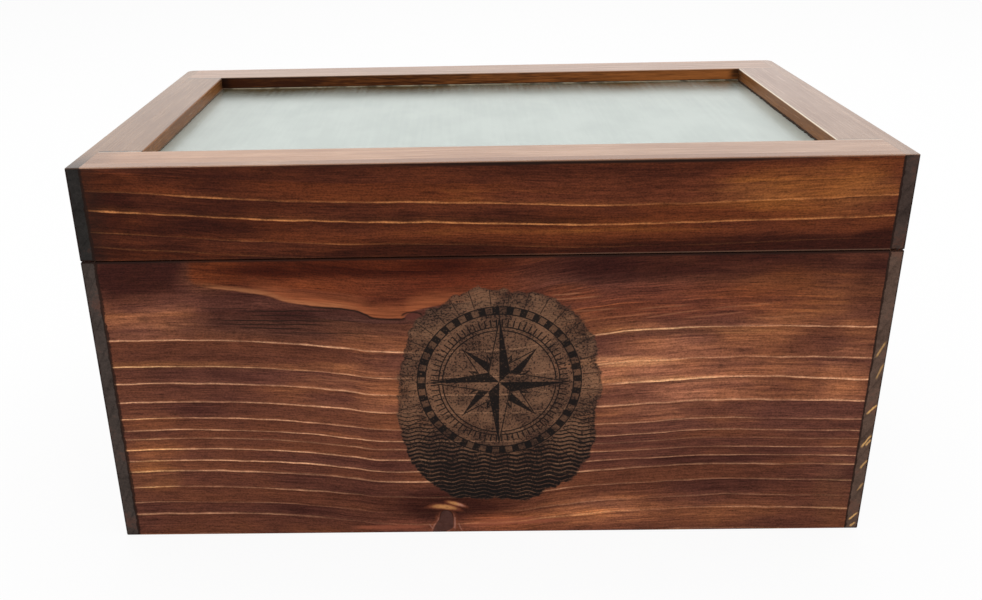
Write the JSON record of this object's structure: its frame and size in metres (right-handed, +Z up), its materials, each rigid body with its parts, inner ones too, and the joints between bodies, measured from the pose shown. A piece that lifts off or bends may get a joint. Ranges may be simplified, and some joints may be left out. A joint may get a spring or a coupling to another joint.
{
  "type": "glass-lid wooden box",
  "caption": "Storage box of dark burnt softwood boards with a hinged lid: a flat wooden frame round a recessed frosted-glass pane, opening on brass butt hinges at the back.",
  "frame": {"origin": "middle of the underside of the box", "axes": "+X along the width to the right as seen from the front, +Y to the back where the hinges are, +Z up"},
  "size_m": [0.4, 0.2546, 0.208],
  "materials": {
    "burnt_pine": "burnt, brushed and varnished",
    "rail_pine": "stained and varnished",
    "bead_pine": "bare, lightly oiled",
    "plywood": "bare plywood",
    "frosted_glass": "acid-etched satin",
    "sealant": "matte",
    "brass": "lightly tarnished",
    "brad_steel": "dull"
  },
  "bodies": {
    "box": {"front_board": "burnt_pine", "back_board": "burnt_pine", "left_board": "burnt_pine", "right_board": "burnt_pine", "bottom_panel": "plywood", "left_hinge_body_leaf": "brass", "right_hinge_body_leaf": "brass", "left_hinge_pin": "brass", "right_hinge_pin": "brass", "body_corner_brads": "brad_steel", "bottom_panel_brads": "brad_steel", "hinge_body_screws": "brass"},
    "lid": {"lid_front_board": "burnt_pine", "lid_back_board": "burnt_pine", "lid_left_board": "burnt_pine", "lid_right_board": "burnt_pine", "lid_front_rail": "rail_pine", "lid_back_rail": "rail_pine", "lid_left_rail": "rail_pine", "lid_right_rail": "rail_pine", "glass_pane": "frosted_glass", "glass_sealant": "sealant", "front_glazing_bead": "bead_pine", "back_glazing_bead": "bead_pine", "left_glazing_bead": "bead_pine", "right_glazing_bead": "bead_pine", "left_hinge_lid_leaf": "brass", "right_hinge_lid_leaf": "brass", "lid_corner_brads": "brad_steel", "glazing_bead_brads": "brad_steel", "hinge_lid_screws": "brass"}
  },
  "joints": [
    {"name": "lid_hinge", "type": "hinge", "parent": "box", "child": "lid", "pos_m": [0, 0.1274, 0.1608], "axis": [-1, 0, 0], "range_deg": [0, 110]}
  ]
}
